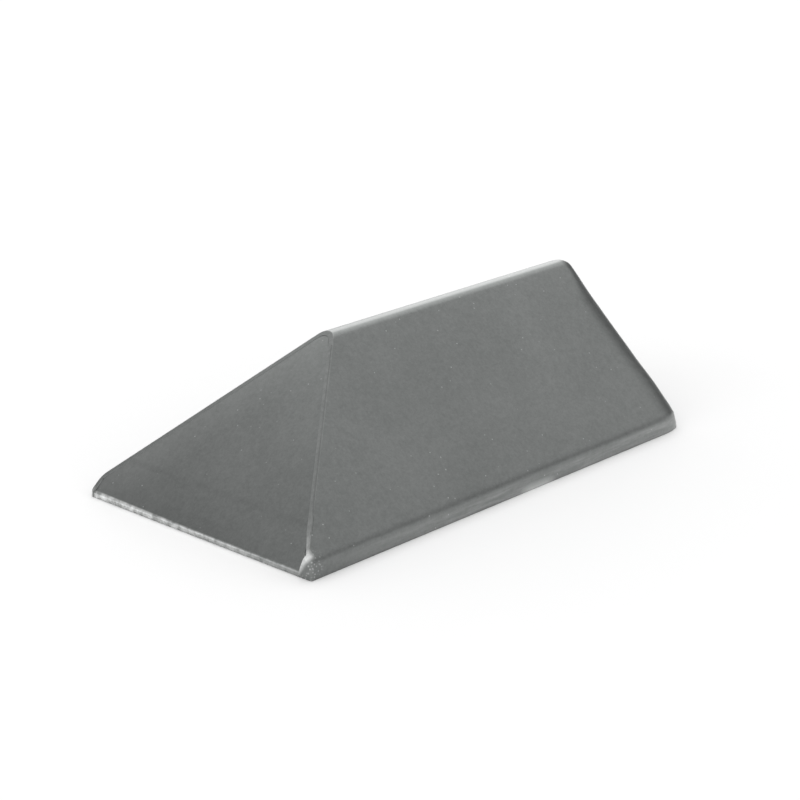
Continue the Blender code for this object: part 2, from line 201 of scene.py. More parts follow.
# ---------------------------------------------------------------- node helpers
class Nodes:
    """Short names for building a material's node tree."""

    def __init__(self, name):
        self.material = bpy.data.materials.new(name)
        self.material.use_nodes = True
        self.tree = self.material.node_tree
        self.shader = self.tree.nodes["Principled BSDF"]
        self.place = self.add("ShaderNodeTexCoord").outputs["Object"]

    def add(self, kind, **settings):
        node = self.tree.nodes.new(kind)
        for key, value in settings.items():
            setattr(node, key, value)
        return node

    def link(self, source, target):
        self.tree.links.new(source, target)

    def stretched(self, scale):
        """Object coordinates multiplied by one factor per axis."""
        node = self.add("ShaderNodeMapping")
        node.inputs["Scale"].default_value = scale
        self.link(self.place, node.inputs["Vector"])
        return node.outputs["Vector"]

    def noise(self, scale, detail=2.0, roughness=0.5, vector=None, distortion=0.0):
        node = self.add("ShaderNodeTexNoise")
        node.inputs["Scale"].default_value = scale
        node.inputs["Detail"].default_value = detail
        node.inputs["Roughness"].default_value = roughness
        node.inputs["Distortion"].default_value = distortion
        self.link(vector or self.place, node.inputs["Vector"])
        return node.outputs["Fac"]

    def math(self, operation, first, second=None, third=None):
        node = self.add("ShaderNodeMath", operation=operation)
        for socket, value in zip(node.inputs, (first, second, third)):
            if value is None:
                continue
            if isinstance(value, (int, float)):
                socket.default_value = value
            else:
                self.link(value, socket)
        return node.outputs[0]

    def remap(self, value, low, high, to_low, to_high, smooth=False):
        node = self.add("ShaderNodeMapRange")
        if smooth:
            node.interpolation_type = "SMOOTHSTEP"
        self.link(value, node.inputs["Value"])
        node.inputs["From Min"].default_value = low
        node.inputs["From Max"].default_value = high
        node.inputs["To Min"].default_value = to_low
        node.inputs["To Max"].default_value = to_high
        return node.outputs["Result"]

    def mix(self, factor, first, second):
        node = self.add("ShaderNodeMix", data_type="RGBA")
        self.link(factor, node.inputs["Factor"])
        for socket, value in ((node.inputs["A"], first), (node.inputs["B"], second)):
            if isinstance(value, tuple):
                socket.default_value = (*value, 1.0)
            else:
                self.link(value, socket)
        return node.outputs["Result"]

    def bump(self, height, distance, under=None):
        node = self.add("ShaderNodeBump")
        node.inputs["Distance"].default_value = distance
        node.inputs["Strength"].default_value = 1.0
        self.link(height, node.inputs["Height"])
        if under:
            self.link(under, node.inputs["Normal"])
        return node.outputs["Normal"]

    def scaled(self, vector, factor):
        """A colour or vector multiplied by one number."""
        node = self.add("ShaderNodeVectorMath", operation="SCALE")
        self.link(vector, node.inputs[0])
        self.link(factor, node.inputs["Scale"])
        return node.outputs["Vector"]

    def blend(self, factor, first, second):
        """A number part of the way from the first to the second."""
        return self.math("MULTIPLY_ADD", factor, self.math("SUBTRACT", second, first), first)

    def distance(self, point):
        """Distance in millimetres of the shaded place from a point."""
        node = self.add("ShaderNodeVectorMath", operation="DISTANCE")
        self.link(self.place, node.inputs[0])
        node.inputs[1].default_value = point
        return self.math("DIVIDE", node.outputs["Value"], MM)

    def over(self, normal, point):
        """Signed distance in millimetres of the shaded place over a plane."""
        node = self.add("ShaderNodeVectorMath", operation="DOT_PRODUCT")
        self.link(self.place, node.inputs[0])
        normal = Vector(normal).normalized() / MM
        node.inputs[1].default_value = normal
        return self.math("SUBTRACT", node.outputs["Value"], normal.dot(Vector(point)))

    def set(self, **values):
        for key, value in values.items():
            socket = self.shader.inputs[key.replace("_", " ").title()]
            if isinstance(value, (int, float)):
                socket.default_value = value
            elif isinstance(value, tuple):
                socket.default_value = (*value, 1.0)
            else:
                self.link(value, socket)


# ---------------------------------------------------------------- materials
STEEL_DARK = (0.170, 0.178, 0.174)
STEEL_LIGHT = (0.217, 0.225, 0.221)
# light steel, for real wear and for painted highlights and reflections
STEEL_WORN_AND_HIGHLIGHT = (0.80, 0.81, 0.805)
STEEL_DUST = (0.40, 0.41, 0.405)
CORNER = (-74.6 * MM, -40.8 * MM, 3.6 * MM)
# middle of a bright spot on the left skirt, a painted reflection of the floor
SKIRT_REFLECTION_SPOT = (9.7 * MM, -42.6 * MM, 0.3 * MM)


def blasted(n):
    """Tone, fine grain and coarse grain of bead-blasted sheet, each from 0 to 1."""
    cloud = n.noise(45, detail=3.0)
    mottle = n.noise(400, detail=3.0, roughness=0.6)
    coarse = n.noise(1000, detail=1.0)
    grain = n.noise(2300, detail=1.0)
    tone = n.math("ADD", n.math("ADD", cloud, mottle), n.math("ADD", coarse, grain))
    return n.remap(tone, 1.5, 2.5, 0.0, 1.0), grain, mottle


def specks(n, per_metre, size):
    """Scattered specks: 1 in the middle of one, 0 outside."""
    cells = n.add("ShaderNodeTexVoronoi")
    cells.inputs["Scale"].default_value = per_metre
    n.link(n.place, cells.inputs["Vector"])
    return n.remap(cells.outputs["Distance"], size * 0.4, size, 1.0, 0.0)


# In the functions below, distances and heights are in millimetres and the result says how far
# towards light steel a place is, for real wear or a painted highlight, or how light or dark it is
# painted.
def satin_steel(name, wear_and_highlights=None, tone_by=None):
    """Fine bead-blasted steel, taken towards light steel where it is rubbed bright or a highlight
    is painted, and made lighter or darker by tone_by(n), which paints light and shade.
    """
    n = Nodes(name)
    tone, grain, mottle = blasted(n)
    colour = n.mix(tone, STEEL_DARK, STEEL_LIGHT)
    if tone_by:
        colour = n.scaled(colour, tone_by(n))
    colour = n.mix(specks(n, 300, 0.075), colour, STEEL_DUST)
    rough = n.remap(n.math("ADD", mottle, grain), 0.7, 1.3, 0.30, 0.36)
    # real wear and painted highlights both draw the colour towards light steel
    if wear_and_highlights:
        brightening = wear_and_highlights(n)
        colour = n.mix(brightening, colour, STEEL_WORN_AND_HIGHLIGHT)
        rough = n.math("MULTIPLY_ADD", brightening, 0.10, rough)
    fine = n.bump(grain, 0.000006)
    n.set(Base_Color=colour, Metallic=1.0, Roughness=rough,
          Normal=n.bump(mottle, 0.00001, under=fine))
    return n.material


def on_left(n):
    """1 on the side that the photograph shows, 0 on the other."""
    return n.remap(n.over((0, -1, 0), (0, 0, 0)), 0.03, 0.06, 0.0, 1.0)


def over_left_cut(n):
    """Distance over the plane in which the left cut edge lies."""
    slope = LEFT_EDGE_SLOPE
    return n.over((-math.sin(slope), 0, math.cos(slope)), (-HALF_LENGTH, 0, LEFT_LIP_Z))


def cut_faces(n):
    """1 on the sheet's cut edges that show round the nose plate, 0 elsewhere."""
    nose_normal = (-math.sin(NOSE_SLOPE), 0, math.cos(NOSE_SLOPE))
    over_nose = n.over(nose_normal, (-HALF_LENGTH, 0, TOE_Z))
    right = n.remap(over_nose, -0.09, -0.03, 0.0, 1.0)
    left = n.remap(over_left_cut(n), -0.09, -0.03, 0.0, 1.0)
    return n.blend(on_left(n), right, left)


def height_of(n):
    """Height of the shaded place in millimetres."""
    return n.over((0, 0, 1), (0, 0, 0))


def brightest(n, first, *others):
    for other in others:
        first = n.math("MAXIMUM", first, other)
    return first


def highlight_patchiness(n):
    """Uneven strength of the painted highlights, from 0.55 to 1."""
    return n.remap(n.noise(700, detail=2.0), 0.40, 0.62, 0.55, 1.0)


def left_cut_highlight(n):
    """Painted highlight along the left cut edge, brightest near its corner."""
    corner = n.remap(n.over((-1, 0, 0), (0, 0, 0)), 66, 73, 0.10, 0.42, smooth=True)
    brightening = n.math("MULTIPLY", n.remap(over_left_cut(n), -0.36, -0.12, 0.0, 1.0), corner)
    return n.math("MULTIPLY", n.math("MULTIPLY", brightening, highlight_patchiness(n)), on_left(n))


def corner_rim_glint(n):
    """Painted glint on the inner side of the left corner's small end wall."""
    (foot_y, foot_z), (head_y, head_z) = LEFT_WALL[1], LEFT_WALL[-1]
    beside = n.over((0, foot_z - head_z, head_y - foot_y), (0, head_y, head_z))
    leaning = n.math("MULTIPLY_ADD", height_of(n), -0.28, beside)
    rim = n.remap(leaning, -0.75, 0.75, 1.0, 0.0, smooth=True)
    at_toe = n.remap(n.over((1, 0, 0), (-HALF_LENGTH, 0, 0)), 1.2, 2.4, 1.0, 0.0)
    rim = n.math("MULTIPLY", n.math("MULTIPLY", rim, at_toe), on_left(n))
    return n.math("MULTIPLY", rim, n.remap(highlight_patchiness(n), 0.55, 1.0, 0.52, 0.72))


def corner_sparkle(n):
    """Bright grains round the ground corner."""
    near = n.remap(n.distance(CORNER), 2.5, 5.5, 1.0, 0.0, smooth=True)
    return n.math("MULTIPLY", n.math("MULTIPLY", near, specks(n, 1250, 0.42)), 0.28)


def skirt_streaks_and_reflection(n):
    """Streaks low on the skirts, and on the left one a bright spot, a painted reflection of the
    floor.
    """
    height = height_of(n)
    low = n.remap(height, 2.8, 4.2, 1.0, 0.0)
    streak = n.noise(1.0, detail=4.0, roughness=0.65, vector=n.stretched((60, 500, 700)))
    streaks = n.math("MULTIPLY", low, n.remap(streak, 0.42, 0.75, 0.05, 0.24))
    behind_nose = n.remap(n.over((1, 0, 0), (0, 0, 0)), -70, -25, 0.0, 1.0)
    streaks = n.math("MULTIPLY", streaks, behind_nose)
    # a bright spot near the foot of the left skirt, a painted reflection of the floor
    reflection_spot = n.remap(n.distance(SKIRT_REFLECTION_SPOT), 3.0, 10.0, 0.48, 0.0, smooth=True)
    return brightest(n, streaks, n.math("MULTIPLY", reflection_spot, n.remap(height, 0.5, 2.6, 1.0, 0.0)))


def ridge_highlight(n):
    """Painted highlight along the very top of the ridge."""
    top = TOP_Z / MM
    return n.remap(height_of(n), top - 0.34, top - 0.04, 0.0, 0.20, smooth=True)


def right_side_highlight(n):
    """Painted highlight on the right flank's tip at the toe and, faintly, on its cut edge."""
    on_right = n.math("SUBTRACT", 1.0, on_left(n))
    tip = n.remap(n.over((-1, 0, 0), (-HALF_LENGTH, 0, 0)), -1.6, -0.5, 0.0, 0.35)
    edge = n.math("MULTIPLY", n.math("MULTIPLY", cut_faces(n), on_right), 0.04)
    return brightest(n, n.math("MULTIPLY", tip, on_right), edge)


def cover_wear_and_highlights(n):
    """Everywhere that the cover is rubbed bright or carries a painted highlight or reflection."""
    return brightest(n, left_cut_highlight(n), skirt_streaks_and_reflection(n), corner_rim_glint(n),
                     corner_sparkle(n), ridge_highlight(n), right_side_highlight(n))


def cover_light_and_shade(n):
    """Painted light, a little lighter towards the upright end; the cut edges take the nose's
    painted tone, and the left ones carry painted shade.
    """
    along = n.remap(n.over((1, 0, 0), (0, 0, 0)), 0, 45, 1.0, 1.06, smooth=True)
    shade = n.remap(on_left(n), 0.0, 1.0, 1.0, 0.88)
    return n.blend(cut_faces(n), along, n.math("MULTIPLY", nose_light_and_shade(n), shade))


def nose_highlights(n):
    """Painted highlight along the toe, and lighter, softly, beside the right hip."""
    across = n.over((0, 1, 0), (0, 0, 0))
    inward = n.over((-1, 0, 0), (-HALF_LENGTH, 0, 0))
    inward = n.math("ADD", inward, n.remap(across, 0, 38, 0.0, 0.35))
    toe = n.math(
        "MULTIPLY", n.remap(inward, -0.42, -0.12, 0.0, 1.0), n.remap(across, -36, 36, 0.27, 1.0))
    patchy = n.remap(n.noise(500, detail=3.0), 0.35, 0.62, 0.3, 1.0)
    toe = n.math("MULTIPLY", toe, patchy)
    flank = (0, math.sin(FLANK_SLOPE), math.cos(FLANK_SLOPE))
    hip = n.over(flank, (0, 0, RIDGE_CORNER_Z - SHEET / math.cos(FLANK_SLOPE)))
    return n.math("MAXIMUM", toe, n.remap(hip, -9.0, -0.5, 0.0, 0.04))


def nose_light_and_shade(n):
    """Painted light, lighter towards the apex with a little random waviness, and painted shade
    beside the left seam.
    """
    rise = n.math("MULTIPLY_ADD", n.noise(60, detail=2.0), 12.0, n.over((0, 0, 1), (0, 0, 0.006)))
    tone = n.math("MULTIPLY_ADD", n.math("POWER", n.remap(rise, 2, 44, 0.0, 1.0), 1.6), 0.35, 0.92)
    flank = (0, -math.sin(FLANK_SLOPE), math.cos(FLANK_SLOPE))
    seam = n.over(flank, (0, 0, RIDGE_CORNER_Z - SHEET / math.cos(FLANK_SLOPE)))
    return n.math("SUBTRACT", tone, n.remap(seam, -3.5, -0.6, 0.0, 0.05))


def hip_glint(n):
    """A painted glint on the left weld where it ends in the corner."""
    return n.remap(n.distance(CORNER), 3.0, 7.0, 0.34, 0.0, smooth=True)


def hip_tone(n):
    """Darker away from the corner, where the weld lies in the shade of the cut edge."""
    return n.remap(n.distance(CORNER), 4.0, 14.0, 1.0, 0.88)


def cast_iron(name):
    """Sand cast iron with a pitted skin."""
    n = Nodes(name)
    sand = n.noise(900, detail=5.0, roughness=0.7)
    colour = n.mix(sand, (0.05, 0.05, 0.052), (0.13, 0.128, 0.125))
    n.set(Base_Color=colour, Metallic=0.6, Roughness=n.remap(sand, 0.3, 0.7, 0.6, 0.8),
          Normal=n.bump(sand, 0.0002))
    return n.material


def zinc_plate(name):
    """Bright zinc with the faint crystals of plating."""
    n = Nodes(name)
    crystal = n.add("ShaderNodeTexVoronoi")
    crystal.inputs["Scale"].default_value = 900
    n.link(n.place, crystal.inputs["Vector"])
    tone = n.math("ADD", n.math("MULTIPLY", crystal.outputs["Distance"], 0.5), n.noise(300))
    colour = n.mix(n.remap(tone, 0.4, 0.9, 0.0, 1.0), (0.50, 0.51, 0.53), (0.62, 0.63, 0.64))
    n.set(Base_Color=colour, Metallic=1.0, Roughness=n.remap(tone, 0.4, 0.9, 0.28, 0.42),
          Normal=n.bump(tone, 0.00002))
    return n.material


def felt(name):
    """Pressed grey wool."""
    n = Nodes(name)
    fibre = n.noise(2200, detail=5.0, roughness=0.8, distortion=2.0)
    colour = n.mix(fibre, (0.12, 0.12, 0.12), (0.26, 0.26, 0.26))
    n.set(Base_Color=colour, Roughness=n.remap(fibre, 0.3, 0.7, 0.9, 1.0),
          Normal=n.bump(fibre, 0.0003))
    return n.material


def rubber(name):
    """Matt moulded rubber, faintly dusty."""
    n = Nodes(name)
    skin = n.noise(1200, detail=4.0, roughness=0.65)
    dust = n.noise(60, detail=4.0)
    colour = n.mix(n.remap(dust, 0.4, 0.75, 0.0, 1.0), (0.018, 0.018, 0.019), (0.045, 0.044, 0.042))
    n.set(Base_Color=colour, Roughness=n.remap(skin, 0.3, 0.7, 0.68, 0.82),
          Normal=n.bump(skin, 0.00005))
    return n.material


# ---------------------------------------------------------------- cover section
def rounded_corner(corner_y, corner_z, radius, angle_from, angle_to, steps, inset):
    """(y, z) points of one fold whose sides have moved inwards by inset."""
    middle = (angle_from + angle_to) / 2
    open_by = math.cos(abs(angle_to - angle_from) / 2)
    left = max(radius - inset, LEAST_RADIUS)
    reach = (inset + left) / open_by
    centre_y = corner_y - reach * math.sin(middle)
    centre_z = corner_z - reach * math.cos(middle)
    points = []
    for step in range(steps + 1):
        angle = angle_from + (angle_to - angle_from) * step / steps
        points.append((centre_y + left * math.sin(angle), centre_z + left * math.cos(angle)))
    return points


def between(first, last, steps):
    """Points strictly between two (y, z) points."""
    return [
        (first[0] + (last[0] - first[0]) * k / steps, first[1] + (last[1] - first[1]) * k / steps)
        for k in range(1, steps)
    ]


def cover_section(inset, detail=1.0):
    """(y, z) points round the cover, from the left rim over the ridge to the right rim."""
    upright = math.pi / 2 - SKIRT_LEAN
    skirt_steps = max(2, round(SKIRT_STEPS * detail))
    ridge_steps = 2 * max(2, round(RIDGE_STEPS * detail / 2))
    flank_steps = max(2, round(FLANK_STEPS * detail))
    left = rounded_corner(
        -SKIRT_CORNER_Y, SKIRT_CORNER_Z, SKIRT_RADIUS, -upright, -FLANK_SLOPE, skirt_steps, inset)
    ridge = rounded_corner(
        0, RIDGE_CORNER_Z, RIDGE_RADIUS, -FLANK_SLOPE, FLANK_SLOPE, ridge_steps, inset)
    right = [(-y, z) for y, z in reversed(left)]
    rim_y = HALF_WIDTH - inset / math.cos(SKIRT_LEAN)
    points = [(-rim_y, RIM_Z)] + between((-rim_y, RIM_Z), left[0], RIM_STEPS) + left
    points += between(left[-1], ridge[0], flank_steps) + ridge
    points += between(ridge[-1], right[0], flank_steps) + right
    points += between(right[-1], (rim_y, RIM_Z), RIM_STEPS) + [(rim_y, RIM_Z)]
    return points


# ---------------------------------------------------------------- mesh helpers
EASED_ANGLE = math.radians(38)
SHARP_ANGLE = math.radians(32)
EASE_SEGMENTS = 3


def link_object(name, data):
    item = bpy.data.objects.new(name, data)
    bpy.context.scene.collection.objects.link(item)
    return item


def mesh_object(name, builder):
    mesh = bpy.data.meshes.new(name)
    builder.to_mesh(mesh)
    builder.free()
    return link_object(name, mesh)


def apply_modifiers(item):
    """Replace the object's mesh with what its modifiers make of it."""
    bpy.context.view_layer.update()
    graph = bpy.context.evaluated_depsgraph_get()
    mesh = bpy.data.meshes.new_from_object(item.evaluated_get(graph))
    item.modifiers.clear()
    item.data = mesh
    return item


def extruded(name, outline, along):
    """A closed solid from an outline of 3-D points pushed along a vector."""
    builder = bmesh.new()
    face = builder.faces.new([builder.verts.new(point) for point in outline])
    grown = bmesh.ops.extrude_face_region(builder, geom=[face])
    moved = [part for part in grown["geom"] if isinstance(part, bmesh.types.BMVert)]
    bmesh.ops.translate(builder, vec=along, verts=moved)
    bmesh.ops.recalc_face_normals(builder, faces=builder.faces)
    return mesh_object(name, builder)


def prism(name, points, y_low, y_high):
    """A prism along Y from an outline of (x, z) points."""
    return extruded(name, [(x, y_low, z) for x, z in points], (0, y_high - y_low, 0))


def tube(name, rows):
    """A closed solid through rows of points that all have the same number of points."""
    builder = bmesh.new()
    rings = []
    for points in rows:
        rings.append([builder.verts.new(point) for point in points])
    for previous, ring in zip(rings, rings[1:]):
        for index in range(len(ring)):
            following = (index + 1) % len(ring)
            builder.faces.new((previous[index], previous[following], ring[following], ring[index]))
    builder.faces.new(rings[0])
    builder.faces.new(rings[-1])
    bmesh.ops.recalc_face_normals(builder, faces=builder.faces)
    return mesh_object(name, builder)


def cut_with(item, tool, operation="DIFFERENCE"):
    """Add an exact Boolean with the tool; apply_modifiers carries it out."""
    modifier = item.modifiers.new(tool.name, "BOOLEAN")
    modifier.operation = operation
    modifier.solver = "EXACT"
    modifier.object = tool


def hip_cutter(name, toe_z, slope, tail, y_low, y_high):
    """A prism over everything in front of a sloping plane through the apex."""
    high_z = TOP_Z + REACH
    high_x = -HALF_LENGTH + (high_z - toe_z) / math.tan(slope)
    low_x = -HALF_LENGTH - REACH
    lower = tail or [(-HALF_LENGTH, toe_z)]
    fall = REACH * (TAIL_SLOPE if tail else math.tan(slope))
    outline = [(low_x, lower[0][1] - fall), *lower, (high_x, high_z), (low_x, high_z)]
    return prism(name, outline, y_low, y_high)


def wall_cutter():
    """A prism along X over the end plane, all but the small wall of the left corner."""
    inner_rise = math.tan(FLANK_SLOPE)
    inner_z = RIDGE_CORNER_Z - (SHEET + CUTTER_CLEAR) / math.cos(FLANK_SLOPE)
    inner_side = HALF_WIDTH - SHEET
    flank_y = LEFT_WALL[-1][0] - WALL_STEP
    outline = [(LEFT_WALL[0][0], -REACH), *LEFT_WALL]
    outline += [(flank_y, inner_z + flank_y * inner_rise), (0, inner_z)]
    outline += [(inner_side, inner_z - inner_side * inner_rise), (inner_side, -REACH)]
    start = -HALF_LENGTH - REACH
    return extruded("wall_cutter", [(start, y, z) for y, z in outline], (REACH + WALL_DEPTH, 0, 0))


def corner_cutter():
    """Thins the sheet from inside towards the left corner, where it was ground down."""
    slope = math.tan(FLANK_SLOPE)
    line_z = RIDGE_CORNER_Z - THIN_SHEET / math.cos(FLANK_SLOPE)
    foot_y, foot_z = LEFT_WALL[-1]
    low_z, high_z = foot_z + THIN_RISE, foot_z + REACH
    outline = [(foot_y, foot_z), (-(line_z - low_z) / slope, low_z)]
    outline += [(-(line_z - high_z) / slope, high_z), (-REACH, high_z), (-REACH, foot_z)]
    rings = []
    for x in (-HALF_LENGTH - REACH, -HALF_LENGTH + THIN_LENGTH):
        shift = (x + HALF_LENGTH) / THIN_LENGTH * THIN_SHIFT
        rings.append((x, [(y + shift, z) for y, z in outline]))
    return loft("corner_cutter", rings)


def ease_edges(item, width):
    """Break the sharp edges."""
    bevel = item.modifiers.new("Eased edges", "BEVEL")
    bevel.width = width
    bevel.segments = EASE_SEGMENTS
    bevel.limit_method = "ANGLE"
    bevel.angle_limit = EASED_ANGLE
    bevel.use_clamp_overlap = False


def dress(item, material, slot, *replaced):
    """Material, smooth shading and the frame's bookkeeping for one piece."""
    item.data.materials.clear()
    item.data.materials.append(material)
    item.data.shade_smooth()
    item.data.set_sharp_from_angle(angle=SHARP_ANGLE)
    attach(item, "root")
    if replaced:
        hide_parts(*replaced)
    return item


# ---------------------------------------------------------------- cover
def nose_line_x(z, depth=0.0):
    """X of the nose plane, or of a plane depth behind it, at height z."""
    return -HALF_LENGTH + (z - TOE_Z + depth / math.cos(NOSE_SLOPE)) / math.tan(NOSE_SLOPE)


def end_shape(z):
    """Reach and draw of the end's rounding at height z, both in metres."""
    for low, high in zip(END_SHAPES, END_SHAPES[1:]):
        if z <= high[0] * MM:
            share = min(max((z / MM - low[0]) / (high[0] - low[0]), 0.0), 1.0)
            share = share * share * (3 - 2 * share)
            return (
                (low[1] + share * (high[1] - low[1])) * MM,
                (low[2] + share * (high[2] - low[2])) * MM,
            )
    return END_SHAPES[-1][1] * MM, END_SHAPES[-1][2] * MM


def drawn_section(sections, wall, draw_at):
    """A section whose points are drawn in by the wall and by draw_at(height)."""
    row = []
    for index, (_, z) in enumerate(sections[0]):
        steps = (wall + draw_at(z)) / INSET_STEP
        low = int(steps)
        (y0, z0), (y1, z1) = sections[low][index], sections[low + 1][index]
        row.append((y0 + (steps - low) * (y1 - y0), z0 + (steps - low) * (z1 - z0)))
    return row


def quarter_round(along, reach, draw):
    """Draw of a quarter ellipse at a distance along from its tip."""
    share = min(max(1 - along / reach, 0.0), 1.0)
    return draw * (1 - math.sqrt(1 - share * share))


def end_draw(x):
    """How far a point at a height is drawn in by the upright end's rounding."""
    return lambda z: quarter_round(HALF_LENGTH - x, *end_shape(z))


def toe_draw(x):
    """The toe end's rounding, tighter towards the foot."""
    def draw(z):
        rise = min(z / TOE_ROUND_Z, 1.0)
        radius = TOE_FOOT_RADIUS + rise * (TOE_END_RADIUS - TOE_FOOT_RADIUS)
        return quarter_round(x + HALF_LENGTH, radius, radius)
    return draw


def cover_body(name, wall, detail):
    """The closed body under the cover's outside, or under its inside when wall is its gauge."""
    deepest = max(draw for _, _, draw in END_SHAPES) * MM + wall
    drawn = [
        cover_section(k * INSET_STEP, detail) for k in range(int(deepest / INSET_STEP) + 3)]
    rings = []
    for step in range(TOE_END_STEPS):
        along = 1 - math.cos(math.pi / 2 * step / TOE_END_STEPS)
        ring_x = -HALF_LENGTH + TOE_END_RADIUS * along
        rings.append((ring_x + wall, drawn_section(drawn, wall, toe_draw(ring_x))))
    start = -HALF_LENGTH + TOE_END_RADIUS + wall
    straight = HALF_LENGTH - END_REACH - start
    lengths = round(LENGTH_STEPS * detail)
    plain = cover_section(wall, detail)
    rings += [(start + straight * k / lengths, plain) for k in range(lengths)]
    for step in range(END_STEPS + 1):
        along = math.sin(math.pi / 2 * step / END_STEPS)
        ring_x = HALF_LENGTH - END_REACH * (1 - along)
        rings.append((ring_x - wall * along, drawn_section(drawn, wall, end_draw(ring_x))))
    if wall:
        rings = [
            (x, [(row[0][0], -REACH), *row[1:-1], (row[-1][0], -REACH)]) for x, row in rings]
    return loft(name, rings)


def loft(name, rings):
    """A closed solid through rings of (y, z) points at x stations."""
    builder = bmesh.new()
    previous = first = None
    for x, section in rings:
        row = [builder.verts.new((x, y, z)) for y, z in section]
        if previous:
            for index in range(len(row)):
                following = (index + 1) % len(row)
                builder.faces.new((
                    previous[index], row[index], row[following], previous[following]))
        first = first or row
        previous = row
    builder.faces.new(first)
    builder.faces.new(previous)
    bmesh.ops.recalc_face_normals(builder, faces=builder.faces)
    return mesh_object(name, builder)


def make_cover(material):
    """The folded sheet with round folds and a rounded upright end."""
    cover = cover_body("cover", 0.0, 1.0)
    tools = [
        cover_body("cover_inside", SHEET, INSIDE_DETAIL),
        hip_cutter("left_hip", LEFT_LIP_Z, LEFT_EDGE_SLOPE, LEFT_TAIL, -2 * HALF_WIDTH, 0),
        hip_cutter("right_hip", TOE_Z, NOSE_SLOPE, None, -CUTTER_OVERLAP, 2 * HALF_WIDTH),
        wall_cutter(),
        corner_cutter(),
    ]
    for tool in tools:
        cut_with(cover, tool)
    apply_modifiers(cover)
    for tool in tools:
        bpy.data.objects.remove(tool)
    return dress(cover, material, "satin_steel", "cover_shell")


def toe_curve():
    """(x, z) points down the nose plane, gently crowned, and round its toe to the lip."""
    x = -HALF_LENGTH + TOE_CROWN
    z = TOE_Z + TOE_CROWN * math.tan(NOSE_SLOPE)
    points = [(x + TOE_STRIP, z + TOE_STRIP * math.tan(NOSE_SLOPE)), (x, z)]
    stride = (TOE_CROWN - TOE_ROUND_REACH) / TOE_CROWN_STEPS
    for step in range(TOE_CROWN_STEPS):
        slope = NOSE_SLOPE + TOE_CROWN_TURN * ((step + 0.5) / TOE_CROWN_STEPS) ** 2
        x -= stride
        z -= stride * math.tan(slope)
        points.append((x, z))
    start = NOSE_SLOPE + TOE_CROWN_TURN
    radius = TOE_ROUND_REACH / (1 - math.sin(start))
    centre_x = x + radius * math.sin(start)
    centre_z = z - radius * math.cos(start)
    for step in range(1, TOE_ROUND_STEPS + 1):
        turn = start + (math.pi / 2 - start) * step / TOE_ROUND_STEPS
        points.append((centre_x - radius * math.sin(turn), centre_z + radius * math.cos(turn)))
    return points


def make_nose_plate(material):
    """The flat plate between the flanks, its toe edge rubbed round."""
    outline = [(-HALF_LENGTH, RIM_Z), (nose_line_x(TOP_Z, SHEET), TOP_Z)]
    outline += [(nose_line_x(TOP_Z), TOP_Z), *toe_curve()]
    plate = prism("nose_plate_fine", outline, -HALF_WIDTH, HALF_WIDTH)
    section = cover_section(SHEET + GAP / 3)
    section = [(section[0][0], -REACH)] + section[1:-1] + [(section[-1][0], -REACH)]
    start = -HALF_LENGTH - REACH
    limit = extruded(
        "nose_plate_room", [(start, y, z) for y, z in section], (2 * HALF_LENGTH, 0, 0))
    plate.data.transform(Matrix.Translation((NOSE_SET_BACK, 0, 0)))
    cut_with(plate, limit, "INTERSECT")
    apply_modifiers(plate)
    ease_edges(plate, NOSE_EASE)
    apply_modifiers(plate)
    bpy.data.objects.remove(limit)
    return dress(plate, material, "satin_steel", "nose_plate")


# ---------------------------------------------------------------- welds
def inner_y(z):
    """Half width of the room inside the cover at height z, measured to the sheet."""
    flank = (RIDGE_CORNER_Z - SHEET / math.cos(FLANK_SLOPE) - z) / math.tan(FLANK_SLOPE)
    return min(flank, HALF_WIDTH - SHEET)


WELD_FOOT_Z = 0.4 * MM
RIGHT_WELD_STEPS = 160
RIGHT_WELD_SIDES = 10
RIGHT_WELD_DEPTH = 0.22 * MM
RIGHT_WELD_RADIUS = 0.24
RIGHT_WELD_WOBBLE = 0.02
RIGHT_WELD_FLATNESS = 1.2
RIGHT_WELD_START = 0.3 * MM


def make_right_weld(material):
    """The ground weld that closes the joint along the right hip."""
    outward = Vector((-math.sin(NOSE_SLOPE), 0, math.cos(NOSE_SLOPE)))
    across = Vector((0, RIGHT_WELD_FLATNESS, 0))
    rows = []
    for step in range(RIGHT_WELD_STEPS + 1):
        z = WELD_FOOT_Z + (TOP_Z - SHEET - WELD_FOOT_Z) * step / RIGHT_WELD_STEPS
        x = max(nose_line_x(z, RIGHT_WELD_DEPTH), RIGHT_WELD_START - HALF_LENGTH)
        centre = Vector((x, inner_y(z) - GAP / 6, z))
        wobble = noise.noise(Vector((0, step * 0.35, 0)))
        radius = (RIGHT_WELD_RADIUS + RIGHT_WELD_WOBBLE * wobble) * MM
        row = []
        for side in range(RIGHT_WELD_SIDES):
            turn = math.tau * side / RIGHT_WELD_SIDES
            row.append(centre + radius * (math.cos(turn) * outward + math.sin(turn) * across))
        rows.append(row)
    return dress(tube("right_hip_weld", rows), material, "satin_steel")


def left_edge_z(x):
    """Height of the cover's raised left edge at x."""
    return LEFT_LIP_Z + (x + HALF_LENGTH) * math.tan(LEFT_EDGE_SLOPE)


LEFT_WELD_STEPS = 150
LEFT_WELD_ARC = 8
LEFT_WELD_START = 0.6 * MM
LEFT_WELD_SHORT_OF_APEX = 1.5 * MM
# steps are closer together near the toe, where the weld swells
LEFT_WELD_CROWDING = 1.25
# everything below is in millimetres: how far the swelling reaches, the weld's leg and
# rise, what the swelling adds to each, and how far the weld stays under the cut edge
SWELL_LENGTH = 4.2
WELD_LEG, LEG_SWELL = 0.38, 0.9
WELD_RISE, RISE_SWELL = 0.40, 4.0
WELD_UNDER_EDGE = 0.15
WELD_RIPPLE = 0.12
WELD_SAG = 0.30
WELD_ROOT = Vector((0, -0.1 * MM, -0.3 * MM))


